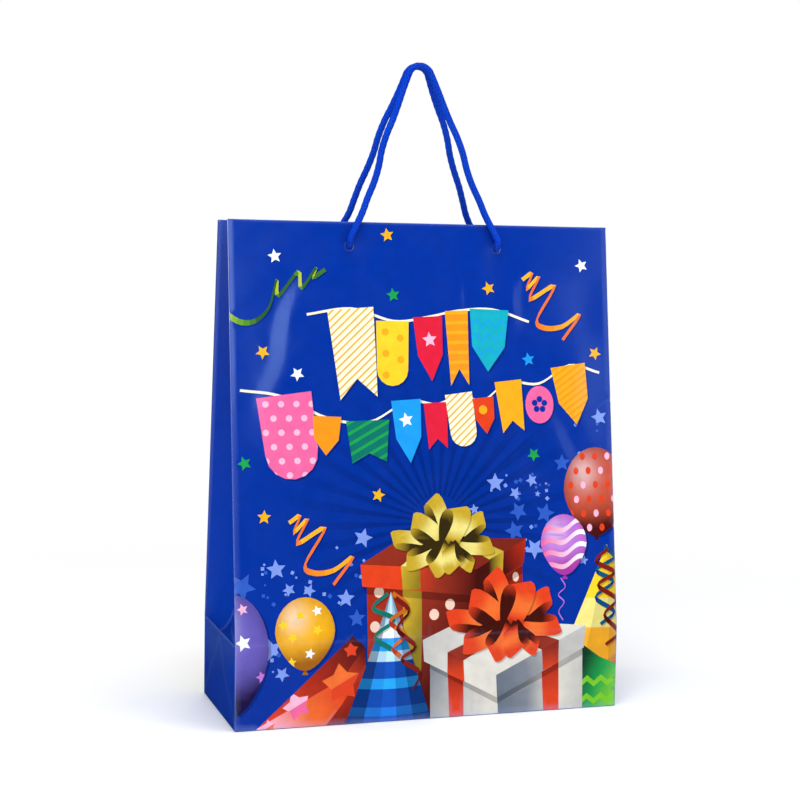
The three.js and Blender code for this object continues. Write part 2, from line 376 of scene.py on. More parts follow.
def floor_material():
    """A plain pale sweep that melts into the white backdrop away from the bag. To reflected rays
    only it glows as a dim blue ring, a painted reflection that the film's gloss shows."""
    nodes = Nodes(bpy.data.materials.new("pale_floor"))
    colour = nodes.ramp(nodes.noise(2, 2), "fbfbfb", "fefefe")
    plain = nodes.shade(Base_Color=colour, Roughness=0.8)
    centre = nodes.add("ShaderNodeVectorMath", {0: nodes.coords()}, operation="LENGTH")
    away = centre.outputs["Value"]
    fade = nodes.map_range(away, 0.22, 0.75, 0.0, 1.0)
    glow = nodes.add("ShaderNodeEmission").outputs["Emission"]
    seen = nodes.add("ShaderNodeMixShader", {0: fade, 1: plain, 2: glow}).outputs["Shader"]
    # Painted reflection: a dim blue glow that only reflected rays see, weak right by the bag,
    # strongest a little away and fading further out.
    rise = nodes.map_range(away, 0.19, 0.28, 0.03, 0.12)
    ring = nodes.math("MULTIPLY", rise, nodes.map_range(away, 0.4, 1.1, 1.0, 0.0))
    inputs = {"Color": (0.4, 0.65, 1, 1), "Strength": ring}
    mirrored = nodes.add("ShaderNodeEmission", inputs).outputs["Emission"]
    glossy = nodes.add("ShaderNodeLightPath").outputs["Is Glossy Ray"]
    both = nodes.add("ShaderNodeMixShader", {0: glossy, 1: seen, 2: mirrored})
    output = nodes.tree.nodes["Material Output"]
    nodes.feed(output.inputs["Surface"], both.outputs["Shader"])
    return nodes.owner


PRINT = print_material()
LINING = lining_material()
BOARD = board_material()
CORD_YARN = cord_material()
FLOOR = floor_material()


# --- Camera, light and floor ---

CAMERA_AT = Vector((-0.349, -1.065, 0.295))
CAMERA_YAW = math.radians(17.7)
CAMERA_PITCH = math.radians(4.7)
CAMERA_ROLL = math.radians(0.93)
CAMERA_LENS = 75.9
SOFTBOX_TARGET = Vector((0, 0, 0.22))
SOFTBOX_DISTANCE = 1.6
SOFTBOX_COLOUR = (0.45, 0.68, 1)


def add_camera():
    data = bpy.data.cameras.new("camera")
    data.lens = CAMERA_LENS
    data.sensor_width = 36
    camera = bpy.data.objects.new("camera", data)
    bpy.context.collection.objects.link(camera)
    turn = Matrix.Rotation(-CAMERA_YAW, 4, "Z") @ Matrix.Rotation(-CAMERA_PITCH, 4, "X")
    upright = Matrix.Rotation(math.pi / 2, 4, "X")
    roll = Matrix.Rotation(CAMERA_ROLL, 4, "Z")
    camera.matrix_world = Matrix.Translation(CAMERA_AT) @ turn @ upright @ roll
    bpy.context.scene.camera = camera


def add_area_light(name, at, target, size, power, colour=(1, 1, 1), mirrored=False):
    data = bpy.data.lights.new(name, "AREA")
    data.shape = "RECTANGLE"
    data.size, data.size_y = size
    data.energy = power
    data.color = colour
    light = bpy.data.objects.new(name, data)
    light.location = at
    light.visible_glossy = mirrored
    direction = Vector(target) - Vector(at)
    light.rotation_euler = direction.to_track_quat("-Z", "Y").to_euler()
    bpy.context.collection.objects.link(light)


def add_softbox(name, azimuth, elevation, size, power):
    """A softbox seen in the film's gloss. Its azimuth is measured from the front, rightward."""
    around, up = math.radians(azimuth), math.radians(elevation)
    level = math.cos(up)
    away = Vector((math.sin(around) * level, -math.cos(around) * level, math.sin(up)))
    at = SOFTBOX_TARGET + away * SOFTBOX_DISTANCE
    add_area_light(name, at, SOFTBOX_TARGET, size, power, SOFTBOX_COLOUR, True)


def add_world():
    """White to the camera, a dim even studio for diffuse light, nearly black in reflections."""
    world = bpy.data.worlds.new("studio")
    nodes = Nodes(world)
    rays = nodes.add("ShaderNodeLightPath").outputs
    level = nodes.map_range(rays["Is Camera Ray"], 0, 1, 0.3, 1.0)
    unseen = nodes.map_range(rays["Is Glossy Ray"], 0, 1, 1.0, 0.02)
    background = nodes.tree.nodes["Background"]
    background.inputs["Color"].default_value = (1, 1, 1, 1)
    nodes.feed(background.inputs["Strength"], nodes.math("MULTIPLY", level, unseen))
    bpy.context.scene.world = world


def add_floor():
    reach, level = 3000, -0.2
    corners = [(-reach, -reach, level), (reach, -reach, level)]
    corners += [(reach, reach, level), (-reach, reach, level)]
    new_object("floor", corners, [(0, 1, 2, 3)], [FLOOR])


def light_studio():
    middle = (0, 0, 0.17)
    lights = (
        ("key", (-1.1, -1.5, 1.25), (0.9, 0.9), 10),
        ("left", (-1.7, 0.1, 0.4), (1.0, 1.0), 16),
        ("fill", (1.6, -1.2, 0.7), (1.0, 1.4), 7),
        ("top", (0.05, -0.4, 1.65), (1.2, 0.7), 17),
        ("back", (0.6, 1.6, 0.9), (1.2, 1.0), 10),
    )
    for name, at, size, power in lights:
        add_area_light(name, at, middle, size, power)
    add_softbox("sheen_left", -4, 24, (0.42, 0.85), 4.2)
    add_softbox("sheen_right", 33, 13, (0.22, 0.5), 0.45)


add_camera()
add_world()
add_floor()
light_studio()
bpy.context.scene.view_settings.view_transform = "Standard"


# --- Inks ---

INKS = {
    "blue": "01319b", "deep": "002b84", "yellow": "f6b31a", "lemon": "fbd02a",
    "cream": "fbf3d6", "stripe": "e9b73c", "white": "f7f8fb", "green": "1fa04e",
    "forest": "0e7466", "sky": "1e9df0", "teal": "16aebf", "lilac": "7f9ae4",
    "haze": "2f5cc0", "pink": "f2679f", "rose": "f7b9d3", "red": "e3213c",
    "orange": "f7961c", "coral": "e4421c", "flame": "f3702e", "ember": "43120c",
    "straw": "f0df80", "amber": "f9ad1b", "gold": "cba82c", "gold_dark": "37290f",
    "brass": "8a761c", "clay": "97301f", "shell": "f3cdb8", "slate": "68727f",
    "pear": "b3c42a", "moss": "5c9a22", "brick": "b02b17", "brick_dark": "4a100d",
    "rust": "7c2617", "bone": "e3ddd0", "silver": "c2bfb9", "silver_dark": "81868f",
    "violet": "6a5cb8", "bronze": "a3600c", "ice": "b5dcf4", "azure": "1a74d2",
    "royal": "0d4cb0", "violet_dark": "1e1040", "balloon_red": "cc5238", "orchid": "bf74d2",
    "magenta": "a8369c", "lime": "7ac928", "lime_dark": "0c3c20",
}
INK = {name: linear(code) for name, code in INKS.items()}
# The point that the printed rays start from.
BURST = (5.0, 127.0)


def blend_ink(a, b, t):
    return a + (b - a) * np.clip(t, 0, 1)


def ground(x, s):
    """The printed blue, a little deeper round the point that the rays start from."""
    near = math.exp(-((x - BURST[0]) ** 2 + (s - BURST[1]) ** 2) / 90.0**2)
    return blend_ink(INK["blue"], INK["deep"], 0.45 * near)


def flat(colour):
    return lambda x, s: colour


def ray_paint(x, s):
    distance = math.hypot(x - BURST[0], s - BURST[1])
    return ground(x, s) * (1 - 0.34 * math.exp(-((distance / 72) ** 2)))


def ramp_ink(start, end, *names):
    """Inks spread along the line from start to end."""
    start, end = np.array(start, float), np.array(end, float)
    axis = (end - start) / np.dot(end - start, end - start)

    def paint(x, s):
        t = float(np.clip(np.dot(np.array([x, s]) - start, axis), 0, 1)) * (len(names) - 1)
        i = min(int(t), len(names) - 2)
        return blend_ink(INK[names[i]], INK[names[i + 1]], t - i)

    return paint


def ball_paint(centre, size, light, dark):
    """A rounded shape lit from its upper left, darker toward its rim and most of all below."""
    shine = blend_ink(INK[light], INK["white"], 0.6)

    def paint(x, s):
        u, v = (x - centre[0]) / size[0], (s - centre[1]) / size[1]
        glow = math.exp(-((u + 0.35) ** 2 + (v - 0.4) ** 2) / 0.16)
        below = float(smoothstep(0.1, 1.1, 0.2 * u - v))
        body = blend_ink(INK[light], INK[dark], 0.4 * math.hypot(u, v) ** 4 + 0.85 * below)
        return blend_ink(body, shine, 0.7 * glow)

    return paint


# --- Print shapes ---


class Print:
    """A stack of outlines, each with a paint, and clipped to the shape it is inside, if any. A
    shape without a paint darkens what is below."""

    def __init__(self):
        self.outlines = []
        self.paints = []
        self.inside = []
        self.sheet = None
        self.spilled = set()

    def add(self, outline, paint, inside=None):
        """Adds a shape on top, painted by an ink's name or a function, and gives its number."""
        self.outlines.append([(float(x), float(s)) for x, s in outline])
        self.paints.append(flat(INK[paint]) if isinstance(paint, str) else paint)
        self.inside.append(inside)
        return len(self.outlines) - 1

    def face(self, outline, start, end, *inks, inside=None):
        """A shape whose inks run along the line from start to end."""
        return self.add(outline, ramp_ink(start, end, *inks), inside)

    def shadow(self, outline, right, down):
        self.add([(x + right, s - down) for x, s in outline], None)

    def shaded(self, outline, paint, right=1.1, down=1.3):
        """A shape with a shadow printed beside it."""
        self.shadow(outline, right, down)
        return self.add(outline, paint)

    def drop_spilled(self, verts, triangles, origins):
        """A sliver can leak its number over the whole sheet. Such a sliver is left out."""
        covered = {}
        for triangle, found in zip(triangles, origins):
            area = abs(signed_area([verts[i] for i in triangle]))
            for number in found:
                covered[number] = covered.get(number, 0) + area
        for number, outline in enumerate(self.outlines):
            if covered.get(number, 0) > 1.3 * abs(signed_area(outline)) + 20:
                self.spilled.add(number)

    def shows(self, number, found):
        if number in self.spilled:
            return False
        holder = self.inside[number]
        while holder is not None and holder in found:
            holder = self.inside[holder]
        return holder is None

    def on_top(self, found):
        """The topmost of the shapes found, and how much the shadows above it darken it."""
        shade = 1.0
        for number in sorted(found, reverse=True):
            if not self.shows(number, found):
                continue
            if self.paints[number] is not None:
                return number, shade
            shade = 0.6
        return self.sheet, shade


def polar(x, s, radius, angle):
    return x + radius * math.cos(angle), s + radius * math.sin(angle)


def ellipse(x, s, rx, rs, points=28):
    angles = [2 * math.pi * k / points for k in range(points)]
    return [(x + rx * math.cos(a), s + rs * math.sin(a)) for a in angles]


def star(x, s, radius, turn=0.2, waist=0.47):
    ring = []
    for k in range(10):
        r = radius * (waist if k % 2 else 1)
        ring.append(polar(x, s, r, math.pi / 2 + turn + math.pi * k / 5))
    return ring


def square(x, s, half, turn):
    return [polar(x, s, half, turn + math.pi / 2 * k) for k in range(4)]


def band_over(wave, height):
    """A band that follows a wavy line and rises above it."""
    return wave + [(x, s + height) for x, s in reversed(wave)]


def drop_shape(x, s, rx, rs, points=32):
    """A balloon: round above, drawn to a point below."""
    ring = []
    for k in range(points):
        a = 2 * math.pi * k / points
        u, v = math.cos(a), math.sin(a)
        pull = 1 - 0.22 * max(0, -v) ** 1.5
        ring.append((x + rx * u * pull, s + rs * v * (1 + 0.12 * max(0, -v))))
    return ring


def smooth_line(points, steps=6):
    """A Catmull-Rom line through the points."""
    p = [np.array(q, float) for q in points]
    p = [2 * p[0] - p[1]] + p + [2 * p[-1] - p[-2]]
    line = []
    for i in range(1, len(p) - 2):
        for k in range(steps):
            t = k / steps
            a = 2 * p[i]
            b = (p[i + 1] - p[i - 1]) * t
            c = (2 * p[i - 1] - 5 * p[i] + 4 * p[i + 1] - p[i + 2]) * t * t
            d = (3 * p[i] - p[i - 1] - 3 * p[i + 1] + p[i + 2]) * t**3
            line.append((a + b + c + d) / 2)
    line.append(p[-2])
    return line


def signed_area(ring):
    return sum(a[0] * b[1] - b[0] * a[1] for a, b in zip(ring, ring[1:] + ring[:1])) / 2


def strips(left, right, tones, tolerance=0.12):
    """Outlines between two rails, joined on while they face one way and keep their tone.
    Each comes with the way it faces and its tone."""
    runs = []
    for k, tone in enumerate(tones):
        first = signed_area([left[k], left[k + 1], right[k + 1]])
        second = signed_area([left[k], right[k + 1], right[k]])
        facing = math.copysign(1, first) if first * second > 0 else 0
        last = runs[-1] if runs else None
        if last and facing and last[0] == facing and abs(last[1] - tone) < tolerance:
            last[3] = k + 1
        else:
            runs.append([facing, tone, k, k + 1])
    outlines = []
    for facing, tone, start, end in runs:
        rings = [left[start : end + 1] + right[start : end + 1][::-1]]
        if not facing:
            rings = [[left[start], left[end], right[end]], [left[start], right[end], right[start]]]
        for ring in rings:
            if abs(signed_area(ring)) > 0.06:
                outlines.append((ring, facing, tone))
    return outlines


def ribbon_pieces(points, width, steps=5):
    """The outlines of a curling ribbon, wide where it faces us and thin where it turns. Each
    comes with how far it climbs, from -1 to 1."""
    line = smooth_line(points, steps)
    left, right, climbs = [], [], []
    for k, here in enumerate(line):
        ahead = line[min(k + 1, len(line) - 1)] - line[max(k - 1, 0)]
        ahead = ahead / (np.linalg.norm(ahead) + 1e-9)
        side = np.array([-ahead[1], ahead[0]])
        half = width / 2 * (0.35 + 0.65 * abs(0.35 * side[0] + 0.94 * side[1]))
        left.append(here + side * half)
        right.append(here - side * half)
        climbs.append(ahead[1])
    return [(ring, climb) for ring, _, climb in strips(left, right, climbs[:-1], 0.25)]


def add_streamer(art, points, width, light, mid, dark):
    """A paper streamer whose face shows lighter going up and darker coming down."""
    pieces = ribbon_pieces(points, width)
    for outline, _ in pieces:
        art.shadow(outline, 0.8, 0.9)
    for outline, climb in pieces:
        colour = blend_ink(INK[dark], INK[mid], 1 + climb)
        colour = blend_ink(colour, INK[light], climb)
        art.add(outline, flat(colour))


def add_stripes(art, holder, spacing, width, angle, paint):
    """Straight bands clipped to a shape."""
    outline = np.array(art.outlines[holder])
    centre = outline.mean(axis=0)
    along = np.array([math.cos(angle), math.sin(angle)])
    across = np.array([-along[1], along[0]])
    reach = np.abs((outline - centre) @ across).max()
    length = np.abs((outline - centre) @ along).max() + 1
    count = int(reach / spacing) + 1
    for k in range(-count, count + 1):
        if abs(k * spacing) > reach:
            continue
        middle = centre + across * (k * spacing)
        a, b = middle - along * length, middle + along * length
        side = across * width / 2
        art.add([a - side, b - side, b + side, a + side], paint, holder)


def add_dots(art, holder, centres, radius, paint):
    for x, s in centres:
        art.add(ellipse(x, s, radius, radius, 12), paint, holder)


# --- The party print ---


def draw_rays(art):
    count, near, far = 38, 18, 100
    half = math.pi / count * 0.42
    for k in range(count):
        a = 2 * math.pi * k / count
        corners = ((near, a - half), (far, a - half), (far, a + half), (near, a + half))
        art.add([polar(*BURST, radius, angle) for radius, angle in corners], ray_paint)


def draw_night_confetti(art):
    """Pale stars and paper squares that drift behind everything else."""
    hazy = [(93, 164, 6), (61, 133, 6.5), (80, 131, 7), (58, 120, 7), (-125, 91, 9), (-51, 68, 6)]
    for k, (x, s, r) in enumerate(hazy):
        art.add(star(x, s, r, 0.5 * k), "haze")
    bright = [(45, 152, 6.5), (71, 153, 4.4), (59, 145, 4.4), (75, 144, 2.2), (121, 194, 6)]
    bright += [(72, 108, 7), (-46, 119, 6.5), (-103, 101, 6.5), (-95, 88, 4.4), (-82, 87, 4.4)]
    bright += [(-58, 81, 6), (-107, 51, 7.5), (-100, 35, 5), (107, 99, 3.4), (30, 135, 3.6)]
    for k, (x, s, r) in enumerate(bright):
        art.add(star(x, s, r, 0.37 * k), "lilac")
    rng = np.random.default_rng(12)
    clusters = [(64, 146, 22, 12, 16), (112, 184, 10, 14, 6), (-92, 94, 20, 12, 14)]
    clusters += [(-104, 60, 8, 26, 9), (-56, 96, 14, 18, 8), (66, 118, 16, 10, 8)]
    for x, s, spread_x, spread_s, count in clusters:
        for _ in range(count):
            u, v = rng.uniform(-1, 1, 2)
            ink = "lilac" if rng.uniform() < 0.6 else "haze"
            half, turn = rng.uniform(0.8, 1.7), rng.uniform(0, 1.6)
            art.add(square(x + u * spread_x, s + v * spread_s, half, turn), ink)


def draw_stars(art):
    spots = {
        "yellow": [(-25, 314), (44, 280), (-109, 238), (119, 237), (-35, 146), (-110, 134)],
        "white": [(-100, 299), (111, 296), (-87, 224)],
        "green": [(-22, 275), (-122, 168), (73, 170)],
        "sky": [(71, 233)],
    }
    for ink, places in spots.items():
        for k, (x, s) in enumerate(places):
            art.shaded(star(x, s, 4.7, 0.15 + 0.21 * k), ink, 0.5, 0.7)


def curl_from(x, s):
    """The route of the orange streamers: a springy start and one long loose tail."""
    steps = [(0, 0), (7, 4), (3, -6), (12, 2), (5, -13), (23, -4), (10, -26), (15, -32), (28, -31)]
    steps += [(41, -23), (28, -40)]
    return [(x + dx, s + ds) for dx, ds in steps]


def draw_streamers(art):
    green = [(-67, 291), (-75, 286), (-73, 292), (-83, 279), (-85, 289), (-98, 274), (-99, 284)]
    green += [(-104, 267), (-113, 258), (-123, 257), (-133, 263)]
    add_streamer(art, green, 3.6, "pear", "moss", "lime_dark")
    add_streamer(art, curl_from(68, 286), 3.6, "lemon", "orange", "flame")
    add_streamer(art, curl_from(-94, 130), 3.6, "lemon", "orange", "flame")


def flag(x, top, width, height, turn, tail):
    """A garland flag hung by its top edge: its tail is a point, a swallow cut or rounded."""
    h = width / 2
    if tail == "point":
        low = [(h * 0.85, -height * 0.6), (0, -height), (-h * 0.85, -height * 0.6)]
    elif tail == "swallow":
        low = [(h * 0.8, -height), (0, -height * 0.78), (-h * 0.8, -height)]
    else:
        low = []
        for k in range(9):
            a = math.pi * k / 8
            low.append((h * 0.95 * math.cos(a), -height + h * 0.95 * (1 - math.sin(a))))
    ring = [(-h, 0), (h, 0)] + low
    c, s = math.cos(turn), math.sin(turn)
    return [(x + u * c - v * s, top + u * s + v * c) for u, v in ring]


def garland_line(art, points):
    """The thin cord that a row of flags hangs from."""
    pieces = ribbon_pieces(points, 1.7, 6)
    for outline, _ in pieces:
        art.shadow(outline, 0.6, 0.8)
    for outline, _ in pieces:
        art.add(outline, "cream")


def draw_upper_garland(art):
    line = [(-80, 262), (-50, 266), (-22, 258), (2, 261), (22, 265), (46, 266), (72, 258)]
    garland_line(art, line)
    striped = art.shaded(flag(-51, 266, 31, 58, 0.08, "swallow"), "cream")
    add_stripes(art, striped, 3.6, 1.1, 0.75, "stripe")
    spotted = art.shaded(flag(-23, 258, 22, 42, -0.02, "round"), "lemon")
    spots = [(-28 + 10 * (k % 2), 251 - 7 * k + 3 * (k % 2)) for k in range(5)]
    add_dots(art, spotted, spots, 2.4, "amber")
    starred = art.shaded(flag(1, 261, 20, 42, 0.05, "point"), "red")
    art.add(star(2, 246, 5.2, 0.1), "rose", starred)
    barred = art.shaded(flag(21, 265, 16, 49, 0.03, "swallow"), "orange")
    add_stripes(art, barred, 6.5, 2.2, 0.03, "amber")
    zigzag = art.shaded(flag(44, 266, 27, 41, -0.04, "point"), "teal")
    for level in (256, 247, 238):
        wave = [(30 + 4.5 * k, level + (2.6 if k % 2 else -2.6)) for k in range(8)]
        art.add(band_over(wave, 1.4), "sky", zigzag)


def draw_lower_garland(art):
    line = [(-124, 214), (-98, 210), (-68, 196), (-40, 193), (-14, 206), (6, 204), (22, 210)]
    line += [(38, 206), (56, 218), (78, 217), (100, 229), (122, 224)]
    garland_line(art, line)
    dotted = art.shaded(flag(-96, 211, 36, 54, 0.12, "round"), "pink")
    centres = [(-108 + 10 * i + 5 * (j % 2), 205 - 9 * j) for j in range(6) for i in range(4)]
    add_dots(art, dotted, centres, 2.1, "rose")
    art.shaded(flag(-68, 197, 19, 25, -0.05, "point"), "orange")
    chevron = art.shaded(flag(-41, 194, 29, 27, 0.03, "swallow"), "forest")
    add_stripes(art, chevron, 6, 2, 0.5, "green")
    sky = art.shaded(flag(-15, 207, 20, 41, 0.06, "point"), "sky")
    art.add(star(-15, 194, 5, 0.2), "white", sky)
    art.shaded(flag(5, 205, 16, 30, 0.05, "swallow"), "red")
    striped = art.shaded(flag(21, 211, 19, 35, 0.12, "round"), "cream")
    add_stripes(art, striped, 3.4, 1.0, 0.75, "stripe")
    spot = art.shaded(flag(38, 208, 15, 24, 0.1, "point"), "coral")
    art.add(ellipse(38, 200, 3, 3, 14), "amber", spot)
    art.shaded(flag(56, 219, 19, 34, 0.1, "swallow"), "amber")
    lantern = art.shaded(ellipse(78, 203, 10, 12.5, 26), "pink")
    for k in range(5):
        petal = polar(78, 203, 3.6, 2 * math.pi * k / 5 + 0.3)
        art.add(ellipse(*petal, 2.1, 2.1, 12), "blue", lantern)
    banded = art.shaded(flag(99, 229, 25, 40, 0.14, "point"), "amber")
    add_stripes(art, banded, 3.8, 1.3, 0.6, "orange")


def draw_balloon(art, x, s, rx, rs, light, dark, string=()):
    """A balloon with its neck, and its string if it has one. Gives the number of its body."""
    if string:
        for outline, _ in ribbon_pieces(string, 0.9, 5):
            art.add(outline, light)
    low = s - rs * 1.12
    neck = [(x - 2.0, low - 2.6), (x + 2.0, low - 2.6), (x + 0.6, low + 0.6), (x - 0.6, low + 0.6)]
    art.add(neck, dark)
    body = ball_paint((x, s), (rx, rs), light, dark)
    return art.shaded(drop_shape(x, s, rx, rs), body, 1.6, 1.2)


def draw_side_balloons(art):
    violet = draw_balloon(art, -131, 50, 22.5, 36, "violet", "violet_dark")
    stars = [(-125, 56, 5.5, "white"), (-125, 77, 3.8, "rose"), (-113, 34, 4, "orchid")]
    for x, s, r, ink in stars:
        art.add(star(x, s, r, 0.3), ink, violet)
    golden = draw_balloon(art, -85, 61, 19.5, 22, "yellow", "bronze")
    places = [(-88, 72), (-77, 74), (-93, 58), (-77, 62), (-82, 47), (-94, 42), (-99, 66)]
    for k, (x, s) in enumerate(places):
        ink = ("lemon", "white", "lemon")[k % 3]
        art.add(star(x, s, 3.6, 0.25 * k), ink, golden)


def draw_right_balloons(art):
    red = draw_balloon(art, 117, 146, 23, 28, "balloon_red", "brick_dark")
    for row in range(6):
        for k in range(5):
            x, s = 99 + 9 * k + 4 * (row % 2), 168 - 9.5 * row
            ink = "rose" if (row + k) % 3 == 0 else "coral"
            art.add(ellipse(x, s, 1.9, 2.5, 12), ink, red)
    tail = [(90, 88), (93, 82), (88, 77), (92, 72), (88, 66), (91, 60)]
    wavy = draw_balloon(art, 93, 111, 16.5, 19, "orchid", "magenta", tail)
    for level in (121, 113, 105, 97):
        wave = [(76 + 2.2 * k, level - 5 + 0.5 * k + 2 * math.sin(0.62 * k)) for k in range(17)]
        band = band_over(wave, 3.2)
        art.face(band, (78, 111), (106, 111), "pink", "rose", "white", inside=wavy)


def add_loop(art, knot, turn, length, fat, band, inks):
    """One loop of a bow: a band swept round a teardrop, showing its dark inside at the back."""
    light, mid, dark = inks
    c, s = math.cos(turn), math.sin(turn)
    lean = turn + math.copysign(1.95, fat)
    half = np.array([math.cos(lean), math.sin(lean)]) * band / 2
    left, right = [], []
    count = 16
    for k in range(count + 1):
        a = 2 * math.pi * k / count
        u = length * (1 - math.cos(a)) / 2
        v = fat * math.sin(a) * (0.25 + 0.75 * u / length)
        centre = np.array([knot[0] + u * c - v * s, knot[1] + u * s + v * c])
        left.append(centre - half)
        right.append(centre + half)
    tip = polar(*knot, length, turn)
    outside = ramp_ink(knot, tip, dark, mid, light, light, mid, mid)
    inside = ramp_ink(knot, tip, dark, dark, dark, mid)
    pieces = strips(left, right, [0] * count, 1)
    behind = pieces[0][1]
    pieces.sort(key=lambda piece: piece[1] != behind)
    for ring, _, _ in pieces:
        art.shadow(ring, 0.8, 1.0)
    for ring, facing, _ in pieces:
        art.add(ring, inside if facing == behind else outside)


BOW_LOOPS = (
    (1.93, 1.14, 0.15, 0.34),
    (0.6, 1.04, -0.13, 0.3),
    (3.0, 1.34, 0.13, 0.3),
    (2.56, 1.02, 0.18, 0.36),
    (-0.02, 1.04, 0.12, 0.3),
    (3.46, 1.06, -0.13, 0.32),
    (1.3, 0.88, 0.22, 0.42),
    (-0.72, 0.76, 0.1, 0.24),
    (-2.25, 0.68, -0.16, 0.38),
    (-1.25, 0.54, 0.15, 0.4),
)


def draw_bow(art, x, s, size, inks):
    """A loose bow. Each loop has its direction, reach, fullness and band width, from the back
    of the bow to its front."""
    for turn, reach, fat, band in BOW_LOOPS:
        add_loop(art, (x, s), turn, size * reach, size * fat, size * band, inks)


def draw_red_box(art):
    """The large spotted box: its body and ribbon, then its lid and the ribbon over that."""
    near, far = (-44, 91), (28, 86)
    left = art.face([near, far, (27, 0), (-44, 0)], near, (20, 50), "brick", "clay", "brick_dark")
    for x, s in ((-39, 62), (-36, 84), (1, 68), (10, 55), (-2, 48), (12, 74), (20, 62)):
        art.add(ellipse(x, s, 3.3, 3.6, 16), "shell", left)
    right = art.face([far, (63, 103), (62, 20), (27, 0)], (28, 70), (62, 60), "brick_dark", "brick")
    for x, s in ((38, 74), (58, 90), (54, 74)):
        art.add(ellipse(x, s, 2.2, 3.2, 14), "shell", right)
    art.face([(-20, 97), (-7, 95), (-8, 30), (-20, 30)], (-20, 64), (-7, 60), "gold", "brass")
    ribbon = [(40, 100), (50, 104), (50, 60), (40, 55)]
    art.face(ribbon, (45, 104), (45, 60), "gold", "gold_dark")
    art.add([(-47, 88), (29, 79), (29, 74), (-44, 83)], None)
    art.add([(29, 79), (63, 97), (63, 92), (29, 74)], None)
    lid = [(-48, 102), (31, 96), (29, 79), (-47, 88)]
    art.face(lid, (-48, 95), (31, 88), "coral", "coral", "clay", "brick_dark")
    lid = [(31, 96), (66, 115), (64, 99), (29, 79)]
    art.face(lid, (31, 90), (66, 108), "ember", "brick_dark", "brick")
    art.face([(-48, 102), (-20, 118), (66, 115), (31, 96)], (-34, 116), (40, 98), "clay", "rust")
    art.face([(-21, 100), (-8, 99), (-8, 84), (-20, 85)], (-21, 96), (-8, 92), "gold", "brass")
    ribbon = [(40, 102), (50, 107), (49, 92), (39, 86)]
    art.face(ribbon, (40, 96), (50, 96), "gold_dark", "gold")
    art.add([(-21, 100), (-8, 99), (16, 117), (2, 117)], "straw")
    art.face([(40, 102), (50, 107), (28, 117), (14, 117)], (48, 104), (20, 116), "gold", "straw")
    draw_bow(art, 12, 112, 29, ("straw", "gold", "gold_dark"))


def add_two_tone_star(art, x, s, radius, turn, upper, lower, holder):
    """A plump star folded across its middle, light above and dark below."""
    body = art.add(star(x, s, radius, turn, 0.6), lower, holder)
    tilt = np.array([math.cos(0.5), math.sin(0.5)]) * radius * 1.2
    up = np.array([-tilt[1], tilt[0]])
    centre = np.array([x, s])
    art.add([centre - tilt, centre + tilt, centre + tilt + up, centre - tilt + up], upper, body)


def draw_red_cone(art):
    """A party hat lying on its side, with its point toward the bag's corner."""
    outline = [(-118, -1), (-100, 15), (-54, 57), (-46, 50), (-44, 20), (-48, -1)]
    paint = ramp_ink((-112, 0), (-48, 50), "rose", "flame", "coral", "brick_dark")
    cone = art.shaded(outline, paint)
    fold = [(-118, 0), (-54, 57), (-46, 50), (-60, 30)]
    art.face(fold, (-110, 4), (-50, 54), "coral", "brick", "ember", inside=cone)
    hollow = [(-60, 14), (-44, 40), (-44, -1), (-72, -1)]
    art.face(hollow, (-62, 20), (-46, 0), "brick", "ember", inside=cone)
    add_two_tone_star(art, -61, 27, 13, 0.15, "flame", "coral", cone)
    add_two_tone_star(art, -90, 14, 9.5, 0.4, "rose", "pink", cone)
    add_two_tone_star(art, -55, 48, 5, 0.1, "coral", "coral", cone)
    add_two_tone_star(art, -108, 2, 4.5, 0.2, "rose", "flame", cone)


def cone_point(apex, left, right, across, down):
    """A point on a party hat: across its base from 0 to 1 and down from its tip, sagging."""
    x = apex[0] + down * (left[0] + (right[0] - left[0]) * across - apex[0])
    s = apex[1] + down * (left[1] + (right[1] - left[1]) * across - apex[1])
    return x, s - 7 * down * across * (1 - across)


def draw_banded_hat(art, apex, left, right, bands, facets):
    """A cone of coloured bands, each facet of which catches the light differently."""
    base = [cone_point(apex, left, right, a, 1.0) for a in np.linspace(0, 1, 9)]
    art.shaded([apex] + base, bands[0][2])
    for start, end, ink in bands:
        for k, brightness in enumerate(facets):
            a, b = k / len(facets), (k + 1) / len(facets)
            upper = [cone_point(apex, left, right, f, start) for f in (a, (a + b) / 2, b)]
            lower = [cone_point(apex, left, right, f, end) for f in (b, (a + b) / 2, a)]
            if start == 0:
                upper = [apex]
            art.add(upper + lower, flat(np.clip(INK[ink] * brightness, 0, 1)))


def draw_blue_hat(art):
    bands = [(0, 0.26, "ice"), (0.26, 0.35, "white"), (0.35, 0.45, "sky"), (0.45, 0.53, "ice")]
    bands += [(0.53, 0.66, "royal"), (0.66, 0.74, "sky"), (0.74, 0.88, "royal")]
    bands += [(0.88, 0.95, "azure"), (0.95, 1.06, "royal")]
    draw_banded_hat(art, (-28, 84), (-58, 1), (-1, 1), bands, (0.42, 0.95, 1.2, 0.75, 0.4))
    green = [(-30, 83), (-40, 74), (-26, 66), (-39, 56), (-28, 47)]
    add_streamer(art, green, 3.2, "lime", "forest", "forest")
    gold = [(-27, 83), (-17, 74), (-29, 65), (-19, 56), (-27, 48), (-22, 42)]
    add_streamer(art, gold, 3.2, "lemon", "orange", "brick")
    red = [(-25, 80), (-16, 71), (-24, 60), (-12, 48), (-21, 40), (-9, 31), (-13, 20)]
    add_streamer(art, red, 3.2, "flame", "brick", "brick_dark")


